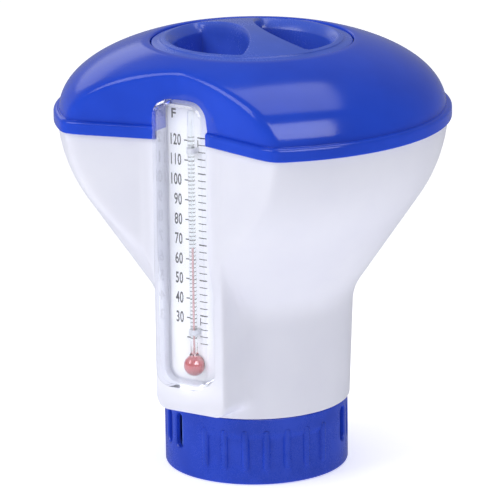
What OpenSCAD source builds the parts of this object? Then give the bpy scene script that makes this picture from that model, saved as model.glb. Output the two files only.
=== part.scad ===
// Floating chlorine dispenser with a built-in pool thermometer.
// Millimetres, +Z up, vertical axis on Z, underside of the flow cup at z = 0.
// The thermometer faces -Y. "Out" below means towards -Y.

/* [Float body] */
// Outside radius of the neck at its lower edge
neck_r = 45.4; // [45:0.1:47]
// Outside radius of the funnel just under the rim
funnel_r = 93.2; // [90:0.1:96]
// Height of the lower edge of the neck
neck_z = 33.3; // [30:0.1:36]
// Wall thickness of the funnel
body_wall = 2.2; // [1.8:0.1:2.6]
// Half width of the pillar that carries the thermometer
pillar_half = 20; // [18:0.5:22]
// Distance from the axis to the pillar's front face
pillar_out = 58.5; // [57:0.5:60]
// Height of the pillar's lower end
pillar_z = 37.3; // [36:0.1:42]

/* [Dome] */
// Radius of the dome at its rim
dome_r = 92.5; // [90:0.1:94]
// Height of the dome above its rim
dome_h = 39.2; // [36:0.1:42]
// Height of the rim, where dome and funnel meet
rim_z = 175; // [170:1:180]
// Exponent of the dome's superellipse profile
dome_n = 2.15; // [2:0.05:2.5]
// Wall thickness of the dome
dome_wall = 2.4; // [2:0.1:2.8]
// Outside radius of the rim bead
bead_r = 95; // [94:0.1:97]
// Height of the rim bead
bead_h = 6.5; // [5:0.1:8]

/* [Thermometer notch] */
// Distance from the axis to the bottom of the V, at the rim
notch_out = 57.5; // [55:0.5:60]
// Angle of each notch wall from the X axis
notch_angle = 15.6; // [12:0.1:18]
// Angle by which the dome's notch walls lean out towards the top
notch_lean = 9.6; // [0:0.1:12]

/* [Thermometer] */
// Half width of the clear case
case_half = 14.1; // [13:0.1:15]
// Distance from the axis to the front of the case
case_out = 67; // [66:0.5:69]
// Height of the lower end of the case
case_z = 52.1; // [52:0.1:56]
// Length of the case
case_len = 138.9; // [135:0.1:141]
// Radius of the corners of the case
case_corner = 8; // [6:0.5:10]
// Offset of the glass tube from the middle of the scale, towards +X
tube_x = 2.1; // [0:0.1:4]
// Height of the middle of the bulb
bulb_z = 62; // [62:0.1:64]
// Height of the 30 F mark on the scale
mark_30_z = 84.1; // [82:0.1:86]
// Length of one degree F on the scale
degree_f = 0.958; // [0.94:0.001:0.97]
// Temperature shown by the spirit, in F
reading_f = 67; // [35:1:115]

/* [Tablet tube and basket] */
// Bore radius of the tube, for tablets of 76 mm diameter
bore_r = 39.5; // [39:0.1:39.8]
// Outside radius of the tube
tube_r = 41.5; // [41.2:0.1:41.6]
// Height of the top of the tube
tube_top = 197; // [190:1:197]

/* [Flow cup] */
// Outside radius of the cup
cup_r = 44.4; // [44:0.1:44.8]
// Inside radius of the cup
cup_bore = 42; // [41.9:0.1:42.2]
// Height of the cup
cup_h = 32.8; // [30:0.1:33]
// Angle between neighbouring ribs and between neighbouring slots
pitch = 13.4; // [13:0.1:15]
// Ribs in each grip
ribs = 7; // [5:1:7]
// Slots in each vent
slots = 5; // [3:1:5]
// Angle of the grip's middle, from -Y towards +X
grip_turn = 38.5; // [0:0.5:60]

/* [Fill cap] */
// Outside radius of the cap
cap_r = 48; // [47.5:0.1:48.2]
// Width of the grip bar at its middle
bar_w = 9.5; // [8:0.5:12]
// Depth of the finger recesses below the rim of the cap
recess_depth = 21; // [15:1:24]
// Angle of the grip bar, from -Y towards +X
bar_turn = 49; // [0:1:60]

/* [Hidden] */
$fn = 96;

far = 150;
blue = [0.15, 0.27, 0.78];
white = [0.92, 0.92, 0.97];

bead_z = rim_z - 4;
bead_proud = 2.2;
joint_gap = 0.1;
flange_h = 2;
seal_r = (neck_r - body_wall - tube_r) / 2;
seal_ring_r = tube_r + seal_r;
seal_bore_r = tube_r + 2 * seal_r;
upper_seal_z = tube_top - 4;
shoulder_out = 1.4;
shoulder_h = 1.5;
lap_h = 5;
lap_r = tube_r - 1;

channel_gap = 0.15;
channel_out = 51.5;
channel_wall = 2.2;

seat_z = 205.2;
seat_r = 48.4;
collar_r = 42;
collar_z = 187;
collar_wall = 2.4;
lug_r = 41.4;
lug_z = 197.6;
lug_h = 2;
lug_arc = 28;
ledge_r = 39.7;
ledge_h = 2.4;
ledge_arc = 60;
ledge_gap = 0.5;
cap_flange_z = 206.2;
cap_skirt_r = 39.1;
skirt_wall = 2;
gasket_in = 43.7;
gasket_out = 46.3;
gasket_h = 2.3;
groove_fit = 0.3;
groove_depth = 1.4;
recess_r = 37.1;
recess_side_r = 65;
recess_wall = 2;
recess_rim_z = 208;

basket_z = 5;
basket_floor = 2;
drain_rings = [[16, 6], [26, 12]];
drain_r = 2.6;
post_r = 5;
post_fit = 0.1;
post_wall = 2;
split_w = 1.6;
snap_lip = 1;
snap_taper = 0.6;
snap_gap = 0.3;
snap_h = 2.4;
hub_h = 3;
hub_out = 4;
cup_floor = 2.4;
slot_w = 6.2;
slot_z0 = 13;
slot_z1 = 30.2;
rib_r = 1.9;
rib_top = 25.8;
rib_bottom = 8.6;
rib_proud = 0.8;
cup_edge = 1.5;
stop_r = 33;
stop_w = 3;
stop_long = 4;
stop_h = 2.5;
stop_turn = 6;
cup_travel = 70;

back_out = 51.6;
back_thick = 2.4;
case_wall = 1.6;
card_thick = 0.6;
card_gap = 0.2;
tube_out = 57.2;
stem_r = 1.65;
bore_d = 0.8;
bulb_r = 5.1;
bulb_glass = 0.6;
stem_top = 186;
clip_w = 2.6;
clip_thick = 0.6;

function unit(v) = v / norm(v);
function wrap(a) = a > 180 ? a - 360 : (a < -180 ? a + 360 : a);

// Points of an arc of radius b[2] that rounds corner b between a and c.
function corner(a, b, c, steps = 8) =
    let (p = [b.x, b.y],
         to_a = unit([a.x, a.y] - p),
         to_c = unit([c.x, c.y] - p),
         half = acos(to_a * to_c) / 2,
         centre = p + unit(to_a + to_c) * b[2] / sin(half),
         start = p + to_a * b[2] / tan(half) - centre,
         end = p + to_c * b[2] / tan(half) - centre,
         from = atan2(start.y, start.x),
         sweep = wrap(atan2(end.y, end.x) - from))
    [for (k = [0:steps]) centre + b[2] * [cos(from + sweep * k / steps), sin(from + sweep * k / steps)]];

// A path of [r, z, rounding] corners, with the rounded ones drawn as arcs.
function rounded(path) =
    [for (i = [0:len(path) - 1])
        each (path[i][2] == 0 ? [[path[i].x, path[i].y]] : corner(path[i - 1], path[i], path[i + 1]))];

// Profile of the funnel, drawn in by an inset from its outside.
function funnel_profile(inset) = rounded([
    [0, neck_z, 0],
    [neck_r - inset, neck_z, 0],
    [47.5 - inset, 87.1 + inset / 2, 25],
    [91.2 - inset, 151 + inset / 2, 75],
    [funnel_r - inset, rim_z - 3, 0],
    [funnel_r - inset, rim_z, 0],
    [0, rim_z, 0]
]);

// Profile of the dome from its rim to its top.
function dome_profile(inset) = concat(
    [[0, rim_z - 10], [dome_r - inset, rim_z - 10]],
    [for (t = [0:3:90])
        [(dome_r - inset) * pow(cos(t), 2 / dome_n), rim_z + (dome_h - inset) * pow(sin(t), 2 / dome_n)]]
);

// Plan of everything behind the notch walls, moved out by d.
module behind_notch(d) {
    apex = notch_out + d / cos(notch_angle);
    side = apex + far * tan(notch_angle);
    polygon([[-far, far], [-far, -side], [0, -apex], [far, -side], [far, far]]);
}

module behind_notch_block(d) {
    linear_extrude(250) behind_notch(d);
}

// Everything behind the dome's leaning notch walls, moved out by d.
module behind_leaning_notch(d) {
    for (side = [-1, 1])
        translate([0, -notch_out - d / cos(notch_angle), rim_z]) rotate(side * notch_angle)
            rotate([notch_lean, 0, 0]) translate([-far, 0, -far]) cube(2 * far);
}

// Upright rounded rectangle in the XZ plane, from y = -out1 to y = -out0.
module plate(half, z0, z1, r, out0, out1) {
    translate([0, -out0, 0]) rotate([90, 0, 0]) linear_extrude(out1 - out0) {
        translate([-half, z0 + r]) square([2 * half, z1 - z0 - 2 * r]);
        translate([-half + r, z0]) square([2 * half - 2 * r, z1 - z0]);
        for (x = [-half + r, half - r], z = [z0 + r, z1 - r]) translate([x, z]) circle(r);
    }
}

// Space for the thermometer case, grown by g on every side.
module channel(g) {
    plate(case_half + channel_gap + g, case_z - channel_gap - g, case_z + case_len + channel_gap + g,
        case_corner, channel_out - g, far);
}

module pillar(inset) {
    edge = 8;
    half = pillar_half - inset;
    out = pillar_out - inset;
    intersection() {
        translate([0, 0, pillar_z + inset]) linear_extrude(rim_z - pillar_z - inset) {
            translate([-half, -out + edge]) square([2 * half, out - edge]);
            translate([-half + edge, -out]) square([2 * half - 2 * edge, out]);
            for (x = [-half + edge, half - edge]) translate([x, -out + edge]) circle(edge);
        }
        plate(half, pillar_z + inset, rim_z + 20, 7, 0, far);
    }
}

module funnel_block(inset) {
    intersection() {
        rotate_extrude() polygon(funnel_profile(inset));
        behind_notch_block(-inset);
    }
    pillar(inset);
}

module funnel_body() {
    color(white) difference() {
        funnel_block(0);
        difference() {
            translate([0, 0, flange_h]) intersection() {
                funnel_block(body_wall);
                cylinder(r = far, h = rim_z);
            }
            channel(channel_wall);
        }
        translate([0, 0, rim_z - 0.01]) cylinder(r = far, h = 5);
        translate([0, 0, neck_z - 1]) cylinder(r = tube_r + joint_gap, h = 20);
        channel(0);
    }
}

module dome_block(inset) {
    intersection() {
        rotate_extrude() polygon(dome_profile(inset));
        translate([0, 0, rim_z]) cylinder(r = far, h = 100);
        behind_leaning_notch(-inset);
    }
}

// Plan of the rim: a disc with the notch cut out of it.
module rim_outline(r, d) {
    intersection() {
        circle(r);
        behind_notch(d);
    }
}

// Ledges inside the collar that the cap's lugs turn under.
module ledges() {
    for (a = [0:120:240])
        rotate(a) rotate_extrude(angle = ledge_arc)
            translate([ledge_r, lug_z + lug_h + ledge_gap]) square([collar_r - ledge_r + 0.5, ledge_h]);
}

module dome_cover() {
    color(blue) difference() {
        union() {
            difference() {
                dome_block(0);
                difference() {
                    dome_block(dome_wall);
                    channel(channel_wall);
                    translate([0, 0, seat_z - dome_wall]) cylinder(r = seat_r + dome_wall, h = 20);
                    translate([0, 0, collar_z]) cylinder(r = seal_bore_r + collar_wall, h = 30);
                }
            }
            translate([0, 0, bead_z]) linear_extrude(bead_h) difference() {
                rim_outline(bead_r, bead_proud);
                rim_outline(dome_r - dome_wall, -dome_wall);
            }
        }
        translate([0, 0, bead_z - 1]) linear_extrude(rim_z - bead_z + 1)
            rim_outline(funnel_r + joint_gap, joint_gap);
        translate([0, 0, seat_z]) cylinder(r = seat_r, h = 20);
        translate([0, 0, collar_z - 1]) cylinder(r = collar_r, h = 30);
        translate([0, 0, collar_z - 1]) cylinder(r = seal_bore_r, h = tube_top - collar_z);
        channel(0);
    }
    color(blue) ledges();
}

module tablet_tube() {
    shoulder_z = neck_z + flange_h + 2 * seal_r;
    color(white) difference() {
        union() {
            translate([0, 0, neck_z]) cylinder(r = tube_r, h = tube_top - neck_z);
            translate([0, 0, shoulder_z]) cylinder(r = tube_r + shoulder_out, h = shoulder_h);
        }
        translate([0, 0, neck_z - 1]) cylinder(r = bore_r, h = tube_top);
        translate([0, 0, neck_z - 1]) cylinder(r = lap_r, h = lap_h + 1);
    }
}

// Rubber ring of round section in the gap around the tube.
module tube_seal(z) {
    color("dimgray") translate([0, 0, z]) rotate_extrude()
        translate([seal_ring_r, 0]) circle(seal_r);
}

module upper_tube_seal() {
    tube_seal(upper_seal_z);
}

module lower_tube_seal() {
    tube_seal(neck_z + flange_h + seal_r);
}

// Upright slots with round ends, cut through the wall on both vents, turned round by shift.
module vent_slots(r0, r1, shift = 0) {
    for (side = [90, 270], i = [0:slots - 1])
        rotate(grip_turn + side + shift + (i - (slots - 1) / 2) * pitch)
            plate(slot_w / 2, slot_z0, slot_z1, slot_w / 2 - 0.01, r0, r1);
}

// Its slots stand half a pitch round from the cup's, so the vents are nearly shut at rest.
module vent_basket() {
    color(blue) difference() {
        union() {
            translate([0, 0, basket_z]) cylinder(r = tube_r, h = neck_z - basket_z);
            translate([0, 0, basket_z]) cylinder(r = lap_r, h = neck_z + lap_h - basket_z);
            for (a = [-stop_turn, cup_travel + stop_turn])
                rotate(a) translate([stop_r - stop_long / 2, -stop_w / 2, basket_z - 2])
                    cube([stop_long, stop_w, stop_h]);
        }
        translate([0, 0, basket_z + basket_floor]) difference() {
            cylinder(r = bore_r, h = 60);
            cylinder(r = post_r + hub_out, h = hub_h - basket_floor);
        }
        translate([0, 0, basket_z - 1]) cylinder(r = post_r + post_fit, h = 10);
        vent_slots(bore_r - 3, tube_r + 3, pitch / 2);
        for (ring = drain_rings, k = [1:ring[1]])
            rotate(360 * k / ring[1]) translate([ring[0], 0, basket_z - 5]) cylinder(r = drain_r, h = 20);
    }
}

// Vertical grip ribs with round tops, on two opposite sides.
module grip_ribs() {
    for (side = [0, 180], i = [0:ribs - 1])
        rotate(grip_turn + side + (i - (ribs - 1) / 2) * pitch)
            translate([0, rib_r - rib_proud - cup_r, 0]) {
                translate([0, 0, rib_bottom]) cylinder(r = rib_r, h = rib_top - rib_bottom);
                translate([0, 0, rib_top]) sphere(rib_r);
                translate([0, 0, rib_bottom]) sphere(rib_r);
            }
}

// Split post with a snap head, which holds the cup to the basket.
module snap_post() {
    hub_top = basket_z + hub_h;
    difference() {
        union() {
            cylinder(r = post_r, h = hub_top + 2);
            translate([0, 0, hub_top + snap_gap])
                cylinder(r1 = post_r + snap_lip, r2 = post_r - snap_taper, h = snap_h);
        }
        translate([-far / 2, -split_w / 2, cup_floor + 1]) cube([far, split_w, 20]);
        translate([0, 0, cup_floor + 1]) cylinder(r = post_r - post_wall, h = 20);
    }
}

module flow_cup() {
    color(blue) difference() {
        union() {
            cylinder(r = cup_r - cup_edge, h = 2);
            translate([0, 0, cup_edge]) cylinder(r = cup_r, h = cup_h - cup_edge);
            rotate_extrude() translate([cup_r - cup_edge, cup_edge]) circle(cup_edge);
            grip_ribs();
        }
        translate([0, 0, cup_floor]) cylinder(r = cup_bore, h = cup_h);
        vent_slots(cup_bore - 3, cup_r + 3);
    }
    color(blue) snap_post();
    color(blue) translate([stop_r - stop_long / 2, -stop_w / 2, cup_floor - 0.5])
        cube([stop_long, stop_w, stop_h - 0.1]);
}

// Plan of one finger recess, on the +X side of a bar along Y.
module recess_outline(grow) {
    intersection() {
        circle(recess_r + grow);
        translate([bar_w / 2 + recess_side_r, 0]) circle(recess_side_r + grow);
    }
}

module recesses(grow, z) {
    rotate(bar_turn) for (side = [0, 180])
        rotate(side) translate([0, 0, z]) linear_extrude(60) recess_outline(grow);
}

module fill_cap() {
    recess_z = recess_rim_z - recess_depth;
    color(blue) difference() {
        union() {
            intersection() {
                rotate_extrude() polygon(dome_profile(0));
                translate([0, 0, cap_flange_z]) cylinder(r = cap_r, h = 20);
            }
            intersection() {
                recesses(recess_wall, recess_z - recess_wall);
                translate([0, 0, recess_z - recess_wall])
                    cylinder(r = cap_skirt_r, h = cap_flange_z - recess_z + 3);
            }
            translate([0, 0, lug_z]) difference() {
                cylinder(r = cap_skirt_r, h = cap_flange_z - lug_z + 1);
                translate([0, 0, -1]) cylinder(r = cap_skirt_r - skirt_wall, h = 20);
            }
            for (a = [0:120:240]) rotate(a + 90 - lug_arc / 2)
                translate([0, 0, lug_z]) rotate_extrude(angle = lug_arc)
                    translate([cap_skirt_r - 1, 0]) square([lug_r - cap_skirt_r + 1, lug_h]);
        }
        recesses(0, recess_z);
        translate([0, 0, cap_flange_z - 1]) difference() {
            cylinder(r = gasket_out + groove_fit, h = groove_depth + 1);
            translate([0, 0, -1]) cylinder(r = gasket_in - groove_fit, h = 5);
        }
    }
}

module cap_seal() {
    color("dimgray") translate([0, 0, seat_z]) difference() {
        cylinder(r = gasket_out, h = gasket_h);
        translate([0, 0, -1]) cylinder(r = gasket_in, h = 5);
    }
}

module thermometer_case() {
    color([0.93, 0.96, 1, 0.35]) difference() {
        plate(case_half, case_z, case_z + case_len, case_corner, back_out + back_thick, case_out);
        plate(case_half - case_wall, case_z + case_wall, case_z + case_len - case_wall,
            case_corner - case_wall, back_out, case_out - case_wall);
    }
}

// Ball that the bulb needs room for.
module bulb_space(r) {
    translate([tube_x, -tube_out, bulb_z]) sphere(r);
}

module thermometer_back() {
    color(white) difference() {
        plate(case_half, case_z, case_z + case_len, case_corner, back_out, back_out + back_thick);
        bulb_space(bulb_r + 0.2);
    }
}

module scale_card() {
    front = back_out + back_thick;
    half = case_half - case_wall - card_gap;
    color("white") difference() {
        plate(half, case_z + case_wall + card_gap, case_z + case_len - case_wall - card_gap,
            case_corner - case_wall, front, front + card_thick);
        bulb_space(bulb_r + 0.4);
        for (z = clip_heights()) translate([tube_x, 0, z]) for (x = [-stem_r - clip_thick, stem_r])
            translate([x - 0.1, -front - 2, -clip_w / 2 - 0.1]) cube([clip_thick + 0.2, 4, clip_w + 0.2]);
    }
}

function clip_heights() = [mark_30_z - 6 * degree_f, mark_30_z + 86 * degree_f];

module glass_tube() {
    color([0.9, 0.95, 1, 0.4]) difference() {
        union() {
            translate([tube_x, -tube_out, bulb_z]) cylinder(r = stem_r, h = stem_top - bulb_z - stem_r);
            translate([tube_x, -tube_out, stem_top - stem_r]) sphere(stem_r);
            bulb_space(bulb_r);
        }
        translate([tube_x, -tube_out, bulb_z]) cylinder(d = bore_d, h = stem_top - bulb_z - 2 * stem_r);
        bulb_space(bulb_r - bulb_glass);
    }
}

module spirit_bulb() {
    color("red") bulb_space(bulb_r - bulb_glass - 0.02);
}

module spirit_thread() {
    start = bulb_z + bulb_r - bulb_glass + 0.05;
    top = mark_30_z + (reading_f - 30) * degree_f;
    color("red") translate([tube_x, -tube_out, start]) cylinder(d = bore_d - 0.04, h = top - start);
}

// Strap over the glass tube, with its feet through the card.
module tube_clip(z) {
    front = back_out + back_thick;
    color("white") translate([tube_x, 0, z - clip_w / 2]) difference() {
        union() {
            translate([0, -tube_out, 0]) cylinder(r = stem_r + clip_thick, h = clip_w);
            translate([-stem_r - clip_thick, -tube_out, 0])
                cube([2 * stem_r + 2 * clip_thick, tube_out - front, clip_w]);
        }
        translate([0, -tube_out, -1]) cylinder(r = stem_r + 0.02, h = clip_w + 2);
        translate([-stem_r, -tube_out, -1]) cube([2 * stem_r, tube_out, clip_w + 2]);
    }
}

module lower_tube_clip() {
    tube_clip(clip_heights()[0]);
}

module upper_tube_clip() {
    tube_clip(clip_heights()[1]);
}

funnel_body();
dome_cover();
tablet_tube();
upper_tube_seal();
lower_tube_seal();
vent_basket();
flow_cup();
fill_cap();
cap_seal();
thermometer_case();
thermometer_back();
scale_card();
glass_tube();
spirit_bulb();
spirit_thread();
upper_tube_clip();
lower_tube_clip();
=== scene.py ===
"""Floating pool dispenser with a built-in thermometer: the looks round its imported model."""

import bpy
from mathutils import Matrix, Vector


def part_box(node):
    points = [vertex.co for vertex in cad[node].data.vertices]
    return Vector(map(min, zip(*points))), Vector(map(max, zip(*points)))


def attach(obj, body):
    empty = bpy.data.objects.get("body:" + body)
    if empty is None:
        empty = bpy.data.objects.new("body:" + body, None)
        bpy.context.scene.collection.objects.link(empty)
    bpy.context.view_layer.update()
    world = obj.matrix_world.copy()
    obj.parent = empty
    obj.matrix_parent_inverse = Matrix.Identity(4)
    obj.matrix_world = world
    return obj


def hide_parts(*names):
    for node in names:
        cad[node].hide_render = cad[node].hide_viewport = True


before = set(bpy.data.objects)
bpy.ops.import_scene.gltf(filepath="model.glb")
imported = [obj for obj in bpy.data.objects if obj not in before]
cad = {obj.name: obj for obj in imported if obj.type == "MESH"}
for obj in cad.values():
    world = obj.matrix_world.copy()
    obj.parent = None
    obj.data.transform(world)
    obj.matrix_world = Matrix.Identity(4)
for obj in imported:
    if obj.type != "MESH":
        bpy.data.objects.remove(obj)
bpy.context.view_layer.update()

import ast
import math

import bmesh
import bpy
import numpy as np
from mathutils import Matrix, Vector

MM = 0.001


def span(node):
    """Lowest and highest corner of a CAD node, in millimetres."""
    low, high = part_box(node)
    return low / MM, high / MM


neck_z = span("funnel_body")[0].z
neck_r, funnel_r = 45.4, 93.2
rim_z = span("funnel_body")[1].z
bead_z = span("dome_cover")[0].z
bead_r = span("dome_cover")[1].x
dome_r, dome_h, dome_n = 92.5, 39.2, 2.15
body_wall, dome_wall = 2.2, 2.4
notch_out, notch_slope, notch_valley, notch_lean = 57.5, 0.279, 4.0, 0.172
pillar_out, pillar_half, pillar_z = 58.5, 20.0, 37.3
seat_z, seat_r = 205.2, 48.4
tube_r = 41.6
cup_r, cup_bore, cup_floor = 44.4, 42.0, 2.4
cup_h = span("flow_cup")[1].z
cap_r = 48.0
bar_turn, bar_w, bar_side_r = 49.0, 9.5, 65.0
cap_top, cap_drop = 214.2, 5.9
recess_r, recess_top_r, recess_floor = 37.1, 41.3, 187.0
lug_z, cap_under = 197.6, 206.2
pitch, grip_turn = 13.4, 38.5
rib_r, rib_proud, rib_low, rib_high = 1.9, 0.8, 8.6, 25.8
slot_w, slot_low, slot_high = 6.2, 13.0, 30.2
case_low, case_high = span("thermometer_case")
card_low = span("scale_card")[0]
case_half, case_out = case_high.x, -case_low.y
tube_x, tube_out, bulb_z = 2.1, 57.2, 62.0
stem_r, bulb_r = 1.65, 5.1
mark_30_z, degree_f = 84.1, 0.958
stem_top, bulb_glass, bore_half = 186.0, 0.6, 0.4
case_back, case_wall = 54.06, 1.6


# ---------------------------------------------------------------- node trees

def add(tree, kind, inputs=(), **settings):
    """Adds a node with its settings and its inputs, which are numbers, sockets or nodes."""
    node = tree.nodes.new(kind)
    for name, value in settings.items():
        setattr(node, name, value)
    for name, value in (inputs.items() if isinstance(inputs, dict) else enumerate(inputs)):
        if isinstance(value, bpy.types.Node):
            value = value.outputs[0]
        if isinstance(value, bpy.types.NodeSocket):
            tree.links.new(value, node.inputs[name])
        elif value is not None:
            node.inputs[name].default_value = value
    return node


SIGNS = {ast.Add: "ADD", ast.Sub: "SUBTRACT", ast.Mult: "MULTIPLY", ast.Div: "DIVIDE"}


def formula(tree, text, names):
    """Lays a written formula out as math nodes and returns the last one."""
    def part(term):
        if isinstance(term, ast.Constant):
            return term.value
        if isinstance(term, ast.Name):
            return names[term.id]
        if isinstance(term, ast.BinOp):
            return add(tree, "ShaderNodeMath", [part(term.left), part(term.right)],
                       operation=SIGNS[type(term.op)])
        return add(tree, "ShaderNodeMath", [part(a) for a in term.args],
                   operation=term.func.id.upper())
    return part(ast.parse(text).body[0].value)


def workout(tree, names, **formulas):
    """Adds each formula in turn, so that later ones can use the earlier ones by name."""
    for name, text in formulas.items():
        names[name] = formula(tree, text, names)
    return names


def geometry_tree(name, **inputs):
    """A Geometry Nodes tree with one named input for each size, and its default value."""
    tree = bpy.data.node_groups.new(name, "GeometryNodeTree")
    tree.interface.new_socket("Geometry", in_out="INPUT", socket_type="NodeSocketGeometry")
    for label, value in inputs.items():
        kind = "NodeSocketInt" if isinstance(value, int) else "NodeSocketFloat"
        tree.interface.new_socket(label, in_out="INPUT", socket_type=kind).default_value = value
    tree.interface.new_socket("Material", in_out="INPUT", socket_type="NodeSocketMaterial")
    tree.interface.new_socket("Geometry", in_out="OUTPUT", socket_type="NodeSocketGeometry")
    source = add(tree, "NodeGroupInput")
    return tree, {s.name: s for s in source.outputs if s.name}


def close_tree(tree, geometry, material):
    real = add(tree, "GeometryNodeRealizeInstances", [geometry])
    painted = add(tree, "GeometryNodeSetMaterial", {"Geometry": real, "Material": material})
    add(tree, "NodeGroupOutput", [painted])
    return tree


def notched_shell():
    """Pulls a round shell in to the V-shaped notch and pushes it out over the pillar."""
    tree, size = geometry_tree(
        "notched_shell", notch=0.0575, slope=0.279, valley=0.004, lean=0.0, rim=0.175, soft=0.006,
        pillar=0.0, half=0.02, foot=0.0373, edge=0.005, blend=0.006, back=0.0493, room=0.01645,
        room_low=0.0512, room_high=0.1954)
    place = add(tree, "GeometryNodeInputPosition")
    axes = add(tree, "ShaderNodeSeparateXYZ", [place]).outputs
    inset = add(tree, "GeometryNodeInputNamedAttribute", {"Name": "inset"}, data_type="FLOAT")
    n = dict(size, x=axes[0], y=axes[1], z=axes[2], inset=inset)
    workout(
        tree, n,
        r="sqrt(x * x + y * y)",
        a="absolute(x / r)",
        b="0 - y / r",
        front="greater_than(b, 0.35)",
        v="notch - inset * 1.038 + lean * maximum(z - rim, 0)",
        d="maximum(b * b - slope * slope * a * a, 0.03)",
        inside="maximum(b * b * v * v - d * (v * v - slope * slope * valley * valley), 0)",
        wall="(b * v + sqrt(inside)) / d + (1 - front) * 9",
        cut="smooth_min(r, wall, soft)",
        rise="z - foot - inset",
        drop="minimum(maximum(0.007 - rise, 0), 0.007)",
        wide="half - inset - 0.007 + sqrt(0.000049 - drop * drop)",
        tuck="minimum(maximum(0.003 - rise, 0), 0.003)",
        out="pillar - inset - 0.003 + sqrt(0.000009 - tuck * tuck)",
        box="smooth_min(out / maximum(b, 0.1), wide / maximum(a, 0.01), edge)",
        proud="smooth_max(cut, box * front * greater_than(rise, 0), blend)",
        behind="front * greater_than(inset, 0.001) * less_than(a * back, room * b)",
        hidden="behind * greater_than(z, room_low) * less_than(z, room_high)",
        radius="proud - hidden * maximum(proud - back / maximum(b, 0.1), 0)",
        new_x="x / r * radius",
        new_y="y / r * radius")
    moved = add(tree, "ShaderNodeCombineXYZ", [n["new_x"], n["new_y"], n["z"]])
    shaped = add(tree, "GeometryNodeSetPosition", {"Geometry": n["Geometry"], "Position": moved})
    return close_tree(tree, shaped, n["Material"])


def ring_of_parts():
    """Copies a part made at the front round the vertical axis, in equal groups."""
    tree, n = geometry_tree("ring_of_parts", count=7, groups=2, pitch=0.2443, turn=0.0)
    total = add(tree, "ShaderNodeMath", [n["count"], n["groups"]], operation="MULTIPLY")
    points = add(tree, "GeometryNodePoints", {"Count": total})
    n["index"] = add(tree, "GeometryNodeInputIndex")
    workout(
        tree, n,
        group="floor((index + 0.5) / count)",
        step="index - group * count",
        angle="turn + group * 6.283185307 / groups + (step - (count - 1) / 2) * pitch")
    spin = add(tree, "ShaderNodeCombineXYZ", [0.0, 0.0, n["angle"]])
    copies = add(tree, "GeometryNodeInstanceOnPoints",
                 {"Points": points, "Instance": n["Geometry"], "Rotation": spin})
    return close_tree(tree, copies, n["Material"])


def ladder_of_marks():
    """Copies a scale mark upwards in equal steps, with every few of them longer and bolder."""
    tree, n = geometry_tree("ladder_of_marks", count=10, first=0.0, step=0.002, every=5, phase=0,
                            longer=2.0, bolder=1.4)
    points = add(tree, "GeometryNodePoints", {"Count": n["count"]})
    n["index"] = add(tree, "GeometryNodeInputIndex")
    workout(
        tree, n,
        height="first + index * step",
        major="less_than(floored_modulo(index - phase + 0.5, every), 1)",
        length="1 + major * (longer - 1)",
        weight="1 + major * (bolder - 1)")
    spread = add(tree, "GeometryNodeSetPosition", {
        "Geometry": points,
        "Position": add(tree, "ShaderNodeCombineXYZ", [0.0, 0.0, n["height"]])})
    scale = add(tree, "ShaderNodeCombineXYZ", [n["length"], 1.0, n["weight"]])
    copies = add(tree, "GeometryNodeInstanceOnPoints",
                 {"Points": spread, "Instance": n["Geometry"], "Scale": scale})
    return close_tree(tree, copies, n["Material"])


# ------------------------------------------------------------------- meshes

def new_object(name, points, faces, material=None):
    mesh = bpy.data.meshes.new(name)
    mesh.from_pydata(np.asarray(points, float) * MM, [], faces)
    if material:
        mesh.materials.append(material)
    item = bpy.data.objects.new(name, mesh)
    bpy.context.scene.collection.objects.link(item)
    return item


def tidy(item, merge=0.0004, sharp=38):
    """Merges doubles, turns the faces outwards and shades smooth between the sharp edges."""
    work = bmesh.new()
    work.from_mesh(item.data)
    bmesh.ops.remove_doubles(work, verts=work.verts, dist=merge * MM)
    bmesh.ops.dissolve_degenerate(work, edges=work.edges, dist=merge * MM)
    bmesh.ops.recalc_face_normals(work, faces=work.faces)
    work.to_mesh(item.data)
    work.free()
    item.data.shade_smooth()
    item.data.set_sharp_from_angle(angle=math.radians(sharp))
    return item


def loft(name, rings, material=None, closed=False, ends=True):
    """A skin over rings of equally many points, closed by a flat face or a pole at each end."""
    rings = [np.asarray(r, float) for r in rings]
    count = len(rings[0])
    points = np.vstack(rings)
    faces = []
    for k in range(len(rings) if closed else len(rings) - 1):
        a, b = k * count, (k + 1) % len(rings) * count
        faces += [(a + i, a + (i + 1) % count, b + (i + 1) % count, b + i) for i in range(count)]
    if ends and not closed:
        faces += [tuple(range(count))[::-1], tuple(range(len(points) - count, len(points)))]
    return tidy(new_object(name, points, faces, material))


def turned(name, loop, angles, material=None, inset=None):
    """A closed section of (radius, height) points, turned round the axis from the front."""
    loop = np.asarray(loop, float)
    angles = np.radians(angles)
    rings = [np.column_stack([loop[:, 0] * math.sin(t), -loop[:, 0] * math.cos(t), loop[:, 1]])
             for t in angles]
    count = len(loop)
    points = np.vstack(rings)
    faces = []
    for k in range(len(rings)):
        a, b = k * count, (k + 1) % len(rings) * count
        faces += [(a + i, b + i, b + (i + 1) % count, a + (i + 1) % count) for i in range(count)]
    item = new_object(name, points, faces, material)
    if inset is not None:
        values = np.tile(np.asarray(inset, float) * MM, len(rings)).astype(np.float32)
        item.data.attributes.new("inset", "FLOAT", "POINT").data.foreach_set("value", values)
        return item
    return tidy(item)


def modify(item, kind, **settings):
    """Runs one modifier on an object, and keeps its result as a plain mesh."""
    step = item.modifiers.new("step", kind)
    for name, value in settings.items():
        setattr(step, name, value)
    return settle(item)


def grow(item, tree, material, **inputs):
    """Runs a Geometry Nodes tree on an object, and keeps its result as a plain mesh."""
    step = item.modifiers.new("step", "NODES")
    step.node_group = tree
    sockets = {s.name: s.identifier for s in tree.interface.items_tree if s.in_out == "INPUT"}
    for name, value in dict(inputs, Material=material).items():
        step[sockets[name]] = value
    return settle(item)


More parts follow.
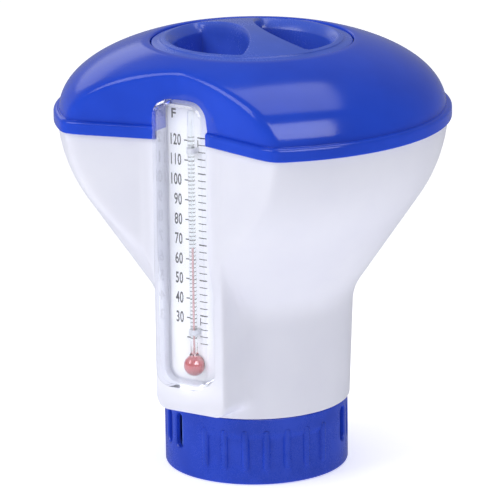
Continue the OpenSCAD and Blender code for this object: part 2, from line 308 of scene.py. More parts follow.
def settle(item):
    bpy.context.view_layer.update()
    seen = item.evaluated_get(bpy.context.evaluated_depsgraph_get())
    mesh = bpy.data.meshes.new_from_object(seen)
    item.modifiers.clear()
    item.data = mesh
    mesh.name = item.name
    return item


def carve(item, tool, operation="DIFFERENCE"):
    """Cuts a tool out of an object, or welds it on, and removes the tool."""
    modify(item, "BOOLEAN", object=tool, operation=operation, solver="EXACT")
    bpy.data.objects.remove(tool)
    return tidy(item)


def bend(a, b, c, radius, steps=8):
    """Points of the arc that rounds corner b, which lies between a and c."""
    a, b, c = (np.array(p[:2], float) for p in (a, b, c))
    to_a, to_c = (a - b) / np.linalg.norm(a - b), (c - b) / np.linalg.norm(c - b)
    half = math.acos(np.clip(to_a @ to_c, -1, 1)) / 2
    centre = b + (to_a + to_c) / np.linalg.norm(to_a + to_c) * radius / math.sin(half)
    reach = radius / math.tan(half)
    start, stop = b + to_a * reach - centre, b + to_c * reach - centre
    first = math.atan2(start[1], start[0])
    sweep = (math.atan2(stop[1], stop[0]) - first + math.pi) % (2 * math.pi) - math.pi
    turns = [first + sweep * k / steps for k in range(steps + 1)]
    return [centre + radius * np.array([math.cos(t), math.sin(t)]) for t in turns]


def rounded(path, steps=8):
    """A path of (r, z) or (r, z, rounding) corners as plain points."""
    done = []
    for i, p in enumerate(path):
        if len(p) > 2 and p[2]:
            done += bend(path[i - 1], p, path[(i + 1) % len(path)], p[2], steps)
        else:
            done.append(np.array(p[:2], float))
    return np.array(done)


def evenly(points, spacing):
    """Points along a path at no more than the spacing, keeping its own points."""
    done = [points[0]]
    for a, b in zip(points[:-1], points[1:]):
        gap = spacing(b[1]) if callable(spacing) else spacing
        n = max(1, math.ceil(np.linalg.norm(b - a) / gap))
        done += [a + (b - a) * k / n for k in range(1, n + 1)]
    return np.array(done)


def dome_height(r):
    return rim_z + dome_h * (1 - np.minimum(np.abs(r) / dome_r, 1) ** dome_n) ** (1 / dome_n)


def crown(r):
    """Height of the cap's top, a little lower than the dome's own curve."""
    return cap_top - cap_drop * (r / cap_r) ** 2


def dome_arc(inset, r_stop, steps):
    """The dome's section from near the rim in to a radius."""
    t = np.radians(np.linspace(0, 90, 2000))
    arc = np.column_stack([(dome_r - inset) * np.cos(t) ** (2 / dome_n),
                           rim_z + (dome_h - inset) * np.sin(t) ** (2 / dome_n)])
    arc = arc[arc[:, 0] >= r_stop]
    length = np.r_[0, np.cumsum(np.linalg.norm(np.diff(arc, axis=0), axis=1))]
    at = np.linspace(0, length[-1], steps)
    return np.column_stack([np.interp(at, length, arc[:, 0]), np.interp(at, length, arc[:, 1])])


def outline(half, low, high, r, steps=10):
    """A rounded rectangle in the XZ plane, as (x, z) points."""
    done = []
    for cx, cz, start in ((half - r, high - r, 0), (r - half, high - r, 90),
                          (r - half, low + r, 180), (half - r, low + r, 270)):
        for k in range(steps + 1):
            t = math.radians(start + 90 * k / steps)
            done.append((cx + r * math.cos(t), cz + r * math.sin(t)))
    return done


def upright(points, out):
    return [(x, -out, z) for x, z in points]


EVEN = np.arange(0, 360, 1.5)
FRONT_DENSE = np.r_[np.arange(-44, 44, 0.45), np.arange(44, 316, 1.3)]


# ---------------------------------------------------------------- materials

def linear(hex_code):
    """A colour written as sRGB hex, in linear light."""
    parts = [int(hex_code[i:i + 2], 16) / 255 for i in (0, 2, 4)]
    return (*(c / 12.92 if c < 0.04045 else ((c + 0.055) / 1.055) ** 2.4 for c in parts), 1.0)


def moulded(name, tones, rough, flow=30.0, grain=0.8, depth=0.012, shader=None):
    """A moulded surface: drifting tone, gloss that varies, a fine grain and a faint long ripple.

    Flow and grain are sizes in millimetres, and depth is the grain's height in millimetres."""
    material = bpy.data.materials.new(name)
    material.use_nodes = True
    tree = material.node_tree
    tree.nodes.clear()
    place = add(tree, "ShaderNodeTexCoord").outputs["Object"]
    drift = add(tree, "ShaderNodeTexNoise",
                {"Vector": place, "Scale": 1000 / flow, "Detail": 3.0, "Roughness": 0.55})
    fine = add(tree, "ShaderNodeTexNoise",
               {"Vector": place, "Scale": 1000 / grain, "Detail": 2.0, "Roughness": 0.6})
    tone = add(tree, "ShaderNodeValToRGB", {"Fac": drift})
    tone.color_ramp.elements[0].position = 0.32
    tone.color_ramp.elements[1].position = 0.68
    for element, code in zip(tone.color_ramp.elements, tones):
        element.color = linear(code)
    gloss = add(tree, "ShaderNodeMapRange", {
        "Value": formula(tree, "drift * 0.6 + fine * 0.4", {"drift": drift, "fine": fine}),
        "From Min": 0.3, "From Max": 0.7, "To Min": rough[0], "To Max": rough[1]})
    ripple = add(tree, "ShaderNodeBump",
                 {"Height": drift, "Strength": 0.25, "Distance": 0.12 * MM})
    bumps = add(tree, "ShaderNodeBump",
                {"Height": fine, "Strength": 1.0, "Distance": depth * MM, "Normal": ripple})
    values = {"Base Color": tone.outputs["Color"], "Roughness": gloss.outputs["Result"], "Normal": bumps}
    values.update(shader or {})
    surface = add(tree, "ShaderNodeBsdfPrincipled", values)
    add(tree, "ShaderNodeOutputMaterial", {"Surface": surface})
    return material


def clear(name, tint, rough, ior, grain, depth):
    """A clear material that lets lamps through, with a gloss coat and a faint surface ripple.

    The inner index is low, so that a wall with sharp inner corners shows no dark fringe."""
    material = bpy.data.materials.new(name)
    material.use_nodes = True
    tree = material.node_tree
    tree.nodes.clear()
    place = add(tree, "ShaderNodeTexCoord").outputs["Object"]
    ripple = add(tree, "ShaderNodeTexNoise",
                 {"Vector": place, "Scale": 1000 / grain, "Detail": 2.0, "Roughness": 0.5})
    smear = add(tree, "ShaderNodeMapRange", {
        "Value": ripple, "From Min": 0.35, "From Max": 0.65, "To Min": rough[0], "To Max": rough[1]})
    bumps = add(tree, "ShaderNodeBump", {"Height": ripple, "Strength": 0.2, "Distance": depth * MM})
    tone = add(tree, "ShaderNodeValToRGB", {"Fac": ripple})
    for element, code in zip(tone.color_ramp.elements, tint):
        element.color = linear(code)
    surface = add(tree, "ShaderNodeBsdfPrincipled", {
        "Base Color": tone.outputs["Color"], "Roughness": smear.outputs["Result"], "IOR": ior,
        "Transmission Weight": 1.0, "Coat Weight": 1.0, "Coat IOR": 1.8, "Coat Roughness": 0.02,
        "Normal": bumps})
    lamp = add(tree, "ShaderNodeLightPath").outputs["Is Shadow Ray"]
    through = add(tree, "ShaderNodeBsdfTransparent")
    add(tree, "ShaderNodeOutputMaterial",
        {"Surface": add(tree, "ShaderNodeMixShader", [lamp, surface, through])})
    return material


# Gloss polypropylene, dyed ultramarine in the mass, from a polished mould.
blue_gloss = moulded("blue_gloss_polypropylene", ("1A46CC", "1E4EDC"), (0.13, 0.19), flow=45,
                     shader={"Specular IOR Level": 0.36})
# The same plastic on the cap, from a mould that is less polished. Its colour is painted lighter than the
# dome's as painted light, for the light that fills the finger recesses and falls on the bar.
lightened_blue_cap = moulded("blue_cap_polypropylene", ("3A5CCC", "4466DC"), (0.22, 0.30), flow=30, depth=0.012)
# The same plastic on the turning cup, with a fine spark-eroded skin.
blue_cup = moulded("blue_cup_polypropylene", ("1E42BE", "244ACE"), (0.22, 0.32), flow=20, grain=0.5,
                   depth=0.02, shader={"Specular IOR Level": 0.4})
# Basket moulding of the same blue, matt, seen through the cup's slots. Its colour is painted paler as
# painted light, so that the shaded slots look lighter.
lightened_blue_inner = moulded("lightened_blue_basket_polypropylene", ("5474DC", "5C7EE8"), (0.45, 0.6), flow=18, grain=0.6,
                     depth=0.04)
# Satin white polypropylene with a cold tint.
white_satin = moulded("white_satin_polypropylene", ("E8E9F5", "EDEEF8"), (0.34, 0.46), flow=40,
                      grain=0.7, depth=0.02)
# Plain white polypropylene tube, extruded.
white_tube = moulded("white_tube_polypropylene", ("DCDDE6", "E6E7EE"), (0.42, 0.55), flow=25, grain=0.6)
# Printed white polystyrene sheet.
card_sheet = moulded("scale_card_polystyrene", ("F0F1F6", "F6F7FB"), (0.4, 0.5), flow=12, grain=0.3,
                     depth=0.006)
# Dark screen-printing ink of the scale, also used as painted shade for the strap slots in the card.
ink = moulded("scale_printing_ink", ("202024", "2C2C32"), (0.45, 0.6), flow=3, grain=0.15, depth=0.01)
# Stamped aluminium strap.
strap_metal = moulded("stamped_aluminium_strap", ("C9CBD2", "DDDFE5"), (0.25, 0.4), flow=2, grain=0.2,
                      depth=0.01, shader={"Metallic": 0.6})
# Black nitrile rubber of the seals.
rubber = moulded("nitrile_rubber_seal", ("17171A", "222226"), (0.6, 0.75), flow=8, grain=0.25,
                 depth=0.04)
# Kerosene dyed red.
spirit = moulded("dyed_red_spirit", ("CC2E3C", "D83A48"), (0.12, 0.2), flow=3, grain=0.5, depth=0.004)
# The same spirit in the narrow bore, where there is too little of it to look dark.
thin_spirit = moulded("dyed_red_spirit_in_bore", ("DFA0A8", "E6AEB4"), (0.15, 0.25), flow=3, grain=0.5,
                      depth=0.004)
# Clear polystyrene case, injection moulded.
clear_case = clear("clear_polystyrene_case", ("F7F8FC", "FBFCFF"), (0.0, 0.01), 1.04, 9.0, 0.01)
# Drawn soda-lime glass.
drawn_glass = clear("drawn_soda_lime_glass", ("F8FBFA", "FCFEFD"), (0.0, 0.01), 1.25, 4.0, 0.004)

shell_tree = notched_shell()
ring_tree = ring_of_parts()
ladder_tree = ladder_of_marks()


# ------------------------------------------------------ float body and dome

def channel_tool():
    """The space for the thermometer case."""
    edge = outline(case_half + 0.15, case_low.z - 0.15, case_high.z + 0.15, 8.0)
    return loft("channel_tool", [upright(edge, 51.5), upright(edge, 120.0)])


def finish(item, body, slot, *nodes):
    """Hands a finished piece over to its CAD body, and hides the CAD nodes that it replaces. The slot
    argument is not used.
    """
    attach(item, body)
    if nodes:
        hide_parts(*nodes)
    return item


def make_funnel():
    def wall(inset):
        path = [(neck_r - inset, neck_z), (47.5 - inset, 87.1 + inset / 2, 25),
                (91.2 - inset, 151 + inset / 2, 75), (funnel_r - inset, rim_z - 3),
                (funnel_r - inset, rim_z)]
        return rounded(path, 24)
    outer = wall(0)
    foot_round = 0.7
    outer[0] = (neck_r, neck_z + foot_round)
    foot = [(tube_r, neck_z), *bend((tube_r, neck_z), (neck_r, neck_z), (neck_r, 60), foot_round, 4)]
    pillar_foot = [37.25, 37.32, 37.6, 38.0, 38.5, 39.1, 40.0]
    neck_taper = 0.039
    extra = np.array([(neck_r + (z - neck_z) * neck_taper, z) for z in pillar_foot])
    outer = np.vstack([outer[:1], extra, outer[1:]])
    outer = evenly(outer, lambda z: 0.6 if z < 46 else (2.0 if z < 90 else 1.2))
    inner = evenly(wall(body_wall), 3.5)
    inner[0] = (neck_r - body_wall, neck_z + 2)
    loop = np.vstack([foot[:-1], outer, inner[::-1], [(tube_r, neck_z + 2)]])
    inset = np.r_[np.zeros(len(foot) - 1 + len(outer)), np.full(len(inner) + 1, body_wall)]
    item = turned("funnel_shell", loop, FRONT_DENSE, inset=inset)
    grow(item, shell_tree, white_satin, notch=notch_out * MM, slope=notch_slope,
         valley=notch_valley * MM, rim=rim_z * MM, soft=7 * MM, pillar=pillar_out * MM,
         half=pillar_half * MM, foot=pillar_z * MM, edge=8 * MM, blend=12 * MM)
    tidy(item)
    carve(item, channel_tool())
    return finish(item, "float", "white_plastic", "funnel_body")


def make_dome():
    lap_r, bead_top = funnel_r + 0.1, bead_z + 6.5
    bead = rounded([(90.1, rim_z), (lap_r, rim_z), (lap_r, bead_z, 0.3), (bead_r, bead_z, 0.9),
                    (bead_r, bead_top, 1.8), (92.42, bead_top, 0.25), (92.3, bead_top + 1.5)], 6)[1:-1]
    bead = evenly(bead, 0.9)
    outer = dome_arc(0, seat_r, 96)
    outer = outer[outer[:, 1] > bead_top + 0.4]
    lip = np.array(bend(outer[-2], (seat_r, dome_height(seat_r)), (seat_r, seat_z), 0.7, 5))
    outer = np.vstack([outer[outer[:, 0] > lip[0][0] + 0.3], lip])
    lip_drop, lip_start, lip_width = 0.7, 53, 4.6
    inwards = np.clip((lip_start - outer[:, 0]) / lip_width, 0, 1)
    outer[:, 1] -= lip_drop * inwards ** 2 * (outer[:, 1] > seat_z + 0.1)
    collar_r, seal_r, collar_out, seat_out = 42, 43.2, 45.6, 50.8
    tube_stop, collar_z, seat_under = 196, 187, 202.8
    collar = np.array([(seat_r, seat_z), (collar_r, seat_z), (collar_r, tube_stop), (seal_r, tube_stop),
                       (seal_r, collar_z), (collar_out, collar_z), (collar_out, seat_under),
                       (seat_out, seat_under)])
    inner = dome_arc(dome_wall, seat_out, 34)[::-1]
    loop = np.vstack([bead, outer, collar, inner])
    inset = np.r_[np.interp(bead[:, 0], [90.1, 92.4, lap_r, bead_r], [dome_wall, 0, -0.1, -2.2]),
                  np.zeros(len(outer)), np.full(len(collar) + len(inner), dome_wall)]
    item = turned("dome_shell", loop, FRONT_DENSE, inset=inset)
    grow(item, shell_tree, blue_gloss, notch=notch_out * MM, slope=notch_slope,
         valley=notch_valley * MM, lean=notch_lean, rim=rim_z * MM, soft=10.5 * MM)
    tidy(item)
    carve(item, channel_tool())
    carve(item, make_ledges(), "UNION")
    return finish(item, "float", "blue_plastic", "dome_cover")


def block(name, x, y, z):
    """A square block between two limits on each axis."""
    return loft(name, [[(x[0], y[0], h), (x[1], y[0], h), (x[1], y[1], h), (x[0], y[1], h)] for h in z])


def arc_block(name, r0, r1, z0, z1, arc, middle=0.0):
    """A block that follows the axis round through an arc."""
    rings = []
    for t in np.radians(np.linspace(middle - arc / 2, middle + arc / 2, 13)):
        rings.append([(r * math.sin(t), -r * math.cos(t), z)
                      for r, z in ((r0, z0), (r1, z0), (r1, z1), (r0, z1))])
    return loft(name, rings)


def make_ledges():
    """The three ledges in the collar that the cap's lugs turn under."""
    ledge = arc_block("ledge", 39.7, 42.5, 200.1, 202.5, 60)
    return grow(ledge, ring_tree, blue_gloss, count=1, groups=3, turn=math.radians(120))


# ------------------------------------------------------------------ the cup

def sink_panels(item):
    """Sinks the cup's wall a little between the ribs, which leaves a shallow panel round each."""
    depth, half_width, low, high = 1.0, 5.2, 4.0, 24.5
    points = np.empty(len(item.data.vertices) * 3)
    item.data.vertices.foreach_get("co", points)
    points = points.reshape(-1, 3)
    r, z = np.hypot(points[:, 0], points[:, 1]), points[:, 2] / MM
    angle = np.degrees(np.arctan2(points[:, 0], -points[:, 1])) - grip_turn
    local = (angle + 90) % 180 - 90
    between = np.abs((local / pitch) % 1 - 0.5) * pitch
    across = np.clip((half_width - between) / 1.2, 0, 1) * (np.abs(local) < 3 * pitch)
    panel = across * np.clip((z - low) / 6, 0, 1) * np.clip((high - z) / 1.2, 0, 1)
    outside = r > (cup_r - 0.9) * MM
    points[:, :2] *= np.where(outside, 1 - panel * depth * MM / np.maximum(r, 1e-6), 1)[:, None]
    item.data.vertices.foreach_set("co", points.ravel())


def make_cup():
    section = rounded([(0.01, 0), (cup_r, 0, 1.7), (cup_r, cup_h, 0.5), (cup_bore, cup_h, 0.3),
                       (cup_bore, cup_floor, 0.8), (0.01, cup_floor)], 6)
    item = turned("cup_shell", evenly(section, 1.2), np.arange(0, 360, 1.0))
    sink_panels(item)
    rib = []
    for z in np.linspace(rib_low - rib_r, rib_high + rib_r, 25):
        over = max(0.0, rib_low - z, z - rib_high) / rib_r
        width = rib_r * math.sqrt(max(1 - over ** 2, 0.0009))
        middle = rib_r - rib_proud - cup_r
        rib.append([(width * math.cos(t), middle - width * math.sin(t), z)
                    for t in np.radians(np.arange(0, 360, 20))])
    ribs = grow(loft("grip_rib", rib), ring_tree, blue_cup, count=7, groups=2,
                pitch=math.radians(pitch), turn=math.radians(grip_turn))
    carve(item, tidy(ribs), "UNION")
    half, bevel = slot_w / 2, 0.7
    slot = outline(half, slot_low, slot_high, half - 0.01, 6)
    flare = outline(half + bevel, slot_low - bevel, slot_high + bevel, half + bevel - 0.01, 6)
    through = [upright(slot, 39), upright(slot, cup_r - bevel),
               upright(flare, cup_r + 0.15), upright(flare, 48)]
    slots = grow(loft("slot_tool", through), ring_tree, blue_cup, count=5, groups=2,
                 pitch=math.radians(pitch), turn=math.radians(grip_turn + 90))
    carve(item, tidy(slots))
    post_r, head_z, head_top, core_r, core_z = 5, 8.3, 10.7, 3, 3.4
    section = [(0.5, 2), (post_r, 2), (post_r, head_z), (post_r + 1, head_z, 0.2),
               (post_r - 0.6, head_top, 0.4), (core_r, head_top), (core_r, core_z), (0.5, core_z)]
    post = turned("post", rounded(section, 4), np.arange(0, 360, 7.5))
    carve(item, carve(post, block("slit", (-9, 9), (-0.8, 0.8), (core_z, 15))), "UNION")
    carve(item, block("stop", (31, 35), (-1.5, 1.5), (2.0, 4.3)), "UNION")
    item.data.materials.clear()
    item.data.materials.append(blue_cup)
    return finish(item, "cup", "blue_plastic", "flow_cup")


# ------------------------------------------------------------------ the cap

def lens(outer, roll=0.0, steps=120):
    """Plan of one finger recess on the +X side of the bar, as points and outward normals."""
    centre = np.array([20.6, 0.0])
    t = np.radians(np.linspace(0, 360, steps, endpoint=False))
    way = np.column_stack([np.cos(t), np.sin(t)])

    def reach(middle, radius):
        off = centre - middle
        along = way @ off
        return -along + np.sqrt(along ** 2 - off @ off + radius ** 2)
    a = reach(np.array([0.0, 0.0]), outer)
    b = reach(np.array([bar_w / 2 + bar_side_r, 0.0]), bar_side_r + roll)
    tip = 4.0
    near = np.maximum(tip - np.abs(a - b), 0) / tip
    edge = centre + way * (np.minimum(a, b) - near ** 3 * tip / 6)[:, None]
    run = np.roll(edge, -1, axis=0) - np.roll(edge, 1, axis=0)
    return edge, np.column_stack([run[:, 1], -run[:, 0]]) / np.linalg.norm(run, axis=1)[:, None], centre


def turn(points, degrees):
    c, s = math.cos(math.radians(degrees)), math.sin(math.radians(degrees))
    return np.column_stack([points[:, 0] * c - points[:, 1] * s, points[:, 0] * s + points[:, 1] * c])


def recess_tool(side):
    """What is cut out for one finger recess: a bowl whose outer side flares out to the cap's rim."""
    edge, normal, centre = lens(recess_r)
    wide = lens(recess_top_r, 1.2)[0]
    spread = np.linalg.norm(wide - edge, axis=1)
    outer_side = np.clip(spread / spread.max() * 1.3 - 0.3, 0, 1)
    floor, flare_z, bowl = recess_floor, 205.3, 5.0
    rings = []

    def ring(plan, height):
        rings.append(np.column_stack([turn(plan, side), np.broadcast_to(height, len(plan))]))
    for share in (0.02, 0.4, 0.8):
        ring(centre + (edge - normal * 6.5 - centre) * share, floor + 0.6 * share ** 2)
    for t in np.radians(np.linspace(0, 84, 9)):
        ring(edge - normal * (1.6 + 4.9 * (1 - math.sin(t))), floor + 0.6 + bowl * (1 - math.cos(t)))
    for share in (0.3, 0.6, 0.85):
        ring(edge - normal * 1.5 * (1 - share), floor + 6 + (flare_z - floor - 6.6) * share)
    for out, rise in ((0, 0), (0.03, 0.08), (0.1, 0.17), (0.3, 0.37), (0.5, 0.56), (0.7, 0.74),
                      (0.84, 0.86), (0.93, 0.93), (0.98, 0.98), (1.04, 1.02), (1.12, 1.08)):
        plan = edge + (wide - edge) * (outer_side * out + (1 - outer_side) * out ** 5)[:, None]
        top = crown(np.hypot(plan[:, 0], plan[:, 1]))
        ring(plan, flare_z + (top - flare_z) * rise)
    ring(plan, 225.0)
    return loft("recess_tool", rings)


def make_cap():
    step, step_r, groove_r = 0.45, 43.6, 46.6
    radii = np.r_[np.linspace(0.01, 43.2, 44), step_r, 43.7, 43.9, 44.2, 44.7,
                  np.linspace(45.3, groove_r, 3)]
    top = [(r, crown(r) - step * (1 - math.exp(-max(0.0, r - step_r) / 0.25))) for r in radii]
    edge = bend(top[-1], (cap_r, crown(cap_r) - step), (cap_r, cap_under), 0.9, 5)
    groove_in, groove_z, skirt_out, skirt_in = 43.4, 207.6, 39.1, 37.1
    under = [(cap_r, cap_under + 0.2), (cap_r - 0.2, cap_under), (groove_r, cap_under),
             (groove_r, groove_z), (groove_in, groove_z), (groove_in, cap_under),
             (skirt_out, cap_under), (skirt_out, lug_z), (skirt_in, lug_z),
             (skirt_in, cap_under), (0.01, cap_under)]
    item = turned("cap_shell", np.vstack([top, edge, under]), EVEN)
    edge, normal, _ = lens(recess_r)
    for side in (bar_turn, bar_turn + 180):
        plan = edge + normal * 2
        plan *= np.minimum(1, (skirt_out - 0.5) / np.hypot(plan[:, 0], plan[:, 1]))[:, None]
        low, wide = turn(edge - normal * 0.5, side), turn(plan, side)
        heights = ((low, recess_floor - 2), (wide, recess_floor + 1.5), (wide, 207.0))
        boss = loft("boss", [np.column_stack([flat, np.full(len(flat), z)]) for flat, z in heights])
        carve(item, boss, "UNION")
    lug = arc_block("lug", skirt_out - 1, 41.4, lug_z, lug_z + 2, 28)
    lugs = grow(lug, ring_tree, lightened_blue_cap, count=1, groups=3, turn=math.radians(180))
    carve(item, tidy(lugs), "UNION")
    for side in (bar_turn, bar_turn + 180):
        carve(item, recess_tool(side))
    mark_r, mark_turn = 41.0, bar_turn + 13
    mark = turn(np.array([(x, mark_r + y) for x, y in outline(3.6, -0.8, 0.8, 0.79, 5)]), mark_turn)
    carve(item, loft("mark", [np.column_stack([mark, np.full(len(mark), z)]) for z in (207.8, 216.0)]))
    item.data.materials.clear()
    item.data.materials.append(lightened_blue_cap)
    return finish(item, "cap", "blue_plastic", "fill_cap")


# -------------------------------------------------------------- thermometer

def make_case():
    def ring(inset, out):
        return upright(outline(case_half - inset, case_low.z + inset, case_high.z - inset,
                               max(8 - inset, 0.4), 12), out)
    soft, inner_soft = 2.0, 1.2
    rings = [ring(0, case_back)]
    for t in np.radians(np.linspace(0, 90, 11)):
        rings.append(ring(soft * (1 - math.cos(t)), case_out - soft + soft * math.sin(t)))
    rings.append(ring(5.5, case_out))
    rings.append(ring(7.4, case_out))
    outside = loft("thermometer_cover", rings, clear_case)
    inner = [ring(case_wall, case_back - 2)]
    for t in np.radians(np.linspace(0, 90, 9)):
        inner.append(ring(case_wall + inner_soft * (1 - math.cos(t)),
                          case_out - case_wall - inner_soft + inner_soft * math.sin(t)))
    inner.append(ring(7.4, case_out - case_wall))
    carve(outside, loft("case_room", inner))
    outside.data.materials.clear()
    outside.data.materials.append(clear_case)
    return finish(outside, "float", "clear_plastic", "thermometer_case")


def stem(name, section, material, steps=40):
    """A turned piece on the thermometer tube's own axis, from (radius, height) points."""
    rings = [[(tube_x + max(r, 0.004) * math.cos(t), -tube_out + max(r, 0.004) * math.sin(t), z)
              for t in np.linspace(0, 2 * math.pi, steps, endpoint=False)] for r, z in section]
    return loft(name, rings, material)


def globe(radius, reach, steps):
    """A ball's section from its foot up to an angle, in degrees, round the middle of the bulb."""
    return [(radius * math.sin(t), bulb_z - radius * math.cos(t))
            for t in np.radians(np.linspace(1, reach, steps))]


def make_tube():
    ball = globe(bulb_r, 140, 26)
    neck = [(2.75, bulb_z + 4.35), (2.4, bulb_z + 4.9), (2.15, bulb_z + 5.5), (stem_r, bulb_z + 6.4)]
    end = [(stem_r * math.cos(t), stem_top - stem_r + stem_r * math.sin(t))
           for t in np.radians(np.linspace(0, 88, 9))]
    shaft = [(stem_r, z) for z in np.linspace(bulb_z + 12, stem_top - stem_r - 3, 18)]
    glass = stem("thermometer_glass", ball + neck + shaft + end, drawn_glass)
    hollow = globe(bulb_r - bulb_glass, 172, 26)
    bore = hollow + [(bore_half, bulb_z + 4.6)] + [(bore_half, z) for z in np.linspace(75, 180, 12)]
    tool = stem("bore_tool", bore, None, 24)
    carve(glass, tool)
    glass.data.materials.clear()
    glass.data.materials.append(drawn_glass)
    return finish(glass, "float", "glass", "glass_tube")


def make_spirit():
    ball = stem("spirit_in_bulb", globe(bulb_r - bulb_glass - 0.02, 174, 30), spirit, 48)
    finish(ball, "float", "red_spirit", "spirit_bulb")
    low, high = span("spirit_thread")
    half = bore_half - 0.02
    shaft = [(0.05, low.z), (half, low.z + 0.1), (half, high.z - 0.25), (0.3, high.z - 0.08), (0.1, high.z)]
    thread = stem("spirit_in_bore", shaft, thin_spirit, 16)
    finish(thread, "float", "red_spirit", "spirit_thread")


def mark(name, x0, x1, thick):
    """One printed line at height zero, from x0 to x1, just proud of the card, as a mark to copy; it also
    serves as painted shade for a strap slot.
    """
    front = -card_low.y
    edge = [(x0, -thick / 2), (x1, -thick / 2), (x1, thick / 2), (x0, thick / 2)]
    return loft(name, [upright(edge, front), upright(edge, front + 0.04)])


def scale_z(fahrenheit):
    """Height of a temperature on the scale."""
    return mark_30_z + (fahrenheit - 30) * degree_f


def lay_print(name, tree_inputs, x_right, length, thick):
    """A ladder of printed marks, or of painted slot shade, whose right ends stand in line at x_right."""
    piece = mark(name, -length, 0.0, thick)
    grow(piece, ladder_tree, ink, **tree_inputs)
    piece.data.transform(Matrix.Translation((x_right * MM, 0, 0)))
    tidy(piece)
    return finish(piece, "float", "card")


def make_numbers():
    """The Fahrenheit numbers and the unit letter, narrow and bold."""
    done = []
    number = dict(size=7.5, right=-5.2, width=0.55)
    unit = dict(size=6.4, right=-7.8, width=0.95)
    labels = [(str(f), scale_z(f) - 0.4, number) for f in range(30, 130, 10)] + [("F", 182.4, unit)]
    for text, height, style in labels:
        words = bpy.data.curves.new("print", "FONT")
        words.body = text
        words.size = style["size"] * MM
        words.align_x = "RIGHT"
        words.align_y = "CENTER"
        words.offset = 0.13 * MM
        words.extrude = 0.02 * MM
        words.space_character = 1.08
        item = bpy.data.objects.new("print", words)
        bpy.context.scene.collection.objects.link(item)
        bpy.context.view_layer.update()
        mesh = bpy.data.meshes.new_from_object(item.evaluated_get(bpy.context.evaluated_depsgraph_get()))
        bpy.data.objects.remove(item)
        mesh.transform(Matrix.Translation((style["right"] * MM, card_low.y * MM - 0.02 * MM, height * MM))
                       @ Matrix.Rotation(math.pi / 2, 4, "X")
                       @ Matrix.Diagonal((style["width"], 1.0, 1.0, 1.0)))
        piece = bpy.data.objects.new("mark", mesh)
        bpy.context.scene.collection.objects.link(piece)
        done.append(piece)
    joined = bmesh.new()
    for piece in done:
        joined.from_mesh(piece.data)
        bpy.data.objects.remove(piece)
    mesh = bpy.data.meshes.new("fahrenheit_numbers")
    joined.to_mesh(mesh)
    joined.free()
    mesh.materials.clear()
    mesh.materials.append(ink)
    item = bpy.data.objects.new("fahrenheit_numbers", mesh)
    bpy.context.scene.collection.objects.link(item)
    tidy(item)
    return finish(item, "float", "card")


make_funnel()
make_dome()
make_cup()
make_cap()
make_case()
make_tube()
make_spirit()
# Both ladders have a mark every 2 degrees of their own scale, from 20 F and from -8 C.
lay_print("fahrenheit_marks",
          dict(count=52, first=scale_z(20) * MM, step=2 * degree_f * MM, every=5, phase=0,
               longer=1.6, bolder=1.5),
          x_right=2.0, length=3.4, thick=0.4)
lay_print("celsius_marks",
          dict(count=30, first=scale_z(32 - 8 * 1.8) * MM, step=2 * 1.8 * degree_f * MM, every=5, phase=4,
               longer=1.0, bolder=1.5),
          x_right=8.0, length=4.0, thick=0.4)
make_numbers()
# The straps' slots in the card are not cut: a dark ink bar at each is painted shade that stands in for the
# slot.
slot_shade_z = mark_30_z - 1.08
lay_print("strap_slot_painted_shade",
          dict(count=2, first=slot_shade_z * MM, step=90 * degree_f * MM, every=9, phase=1,
               longer=1.0, bolder=1.0),
          x_right=4.4, length=0.4, thick=3.6)

for nodes, material in ((("tablet_tube",), white_tube), (("thermometer_back",), white_satin),
                        (("scale_card",), card_sheet), (("vent_basket",), lightened_blue_inner),
                        (("upper_tube_seal", "lower_tube_seal", "cap_seal"), rubber),
                        (("upper_tube_clip", "lower_tube_clip"), strap_metal)):
    for node in nodes:
        cad[node].data.materials.clear()
        cad[node].data.materials.append(material)


# ---------------------------------------------------------------- the stage

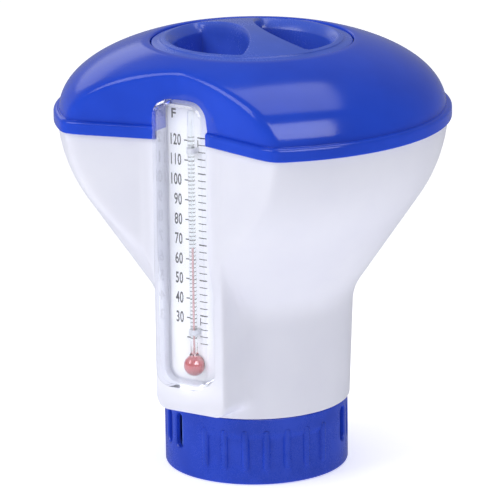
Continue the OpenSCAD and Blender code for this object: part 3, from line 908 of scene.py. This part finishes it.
def softbox(name, azimuth, elevation, distance, size, power, colour="FFFFFF", aim=(0, 0, 0.12)):
    """A square soft lamp that faces the object, placed as a camera would be."""
    data = bpy.data.lights.new(name, "AREA")
    data.shape = "RECTANGLE"
    data.size, data.size_y = size
    data.energy = power
    data.color = linear(colour)[:3]
    lamp = bpy.data.objects.new(name, data)
    a, e = math.radians(azimuth), math.radians(elevation)
    back = Vector((math.sin(a) * math.cos(e), -math.cos(a) * math.cos(e), math.sin(e)))
    lamp.location = Vector(aim) + back * distance
    lamp.rotation_euler = back.to_track_quat("Z", "Y").to_euler()
    bpy.context.scene.collection.objects.link(lamp)
    return lamp


softbox("key_left", -35, 38, 1.9, (1.1, 1.1), 14)
softbox("overhead", 150, 80, 1.8, (1.2, 1.2), 10)
for shine in (softbox("shine_right", 58, 36, 1.9, (1.6, 1.2), 32),
              softbox("shine_left", -124, 21, 1.9, (0.9, 0.5), 1.0)):
    shine.visible_diffuse = False

world = bpy.data.worlds.new("studio")
bpy.context.scene.world = world
world.use_nodes = True
world.node_tree.nodes["Background"].inputs["Color"].default_value = linear("FBFCFF")
world.node_tree.nodes["Background"].inputs["Strength"].default_value = 0.32

reach, floor_z = 9000, -0.02
corners = [(-reach, -reach), (reach, -reach), (reach, reach), (-reach, reach)]
floor = new_object("floor", [(x, y, floor_z) for x, y in corners], [(0, 1, 2, 3)])
paper_glow = {"Emission Color": linear("FAFAFF"), "Emission Strength": 0.55}
floor.data.materials.append(moulded("pale_studio_paper", ("F6F6F8", "F9F9FB"), (0.8, 0.9),
                                    flow=900, grain=3, shader=paper_glow))
floor.visible_glossy = False

camera_data = bpy.data.cameras.new("camera")
camera_data.sensor_width = 36
camera_data.lens = 4158 / 500 * 36
camera_data.clip_start, camera_data.clip_end = 0.1, 50
camera = bpy.data.objects.new("camera", camera_data)
bpy.context.scene.collection.objects.link(camera)
azimuth, elevation, roll = math.radians(32.5), math.radians(15.3), math.radians(0.7)
back = Vector((math.sin(azimuth) * math.cos(elevation), -math.cos(azimuth) * math.cos(elevation),
               math.sin(elevation)))
level = Vector((math.cos(azimuth), math.sin(azimuth), 0))
up = back.cross(level)
right_axis = level * math.cos(roll) - up * math.sin(roll)
up_axis = level * math.sin(roll) + up * math.cos(roll)
aim = Vector((0, 0, 0.11)) - right_axis * 0.00207 - up_axis * 0.00529
turned_to = Matrix((right_axis, up_axis, back)).transposed().to_4x4()
camera.matrix_world = Matrix.Translation(aim + back * 2.0) @ turned_to
bpy.context.scene.camera = camera
bpy.context.scene.view_settings.view_transform = "Standard"
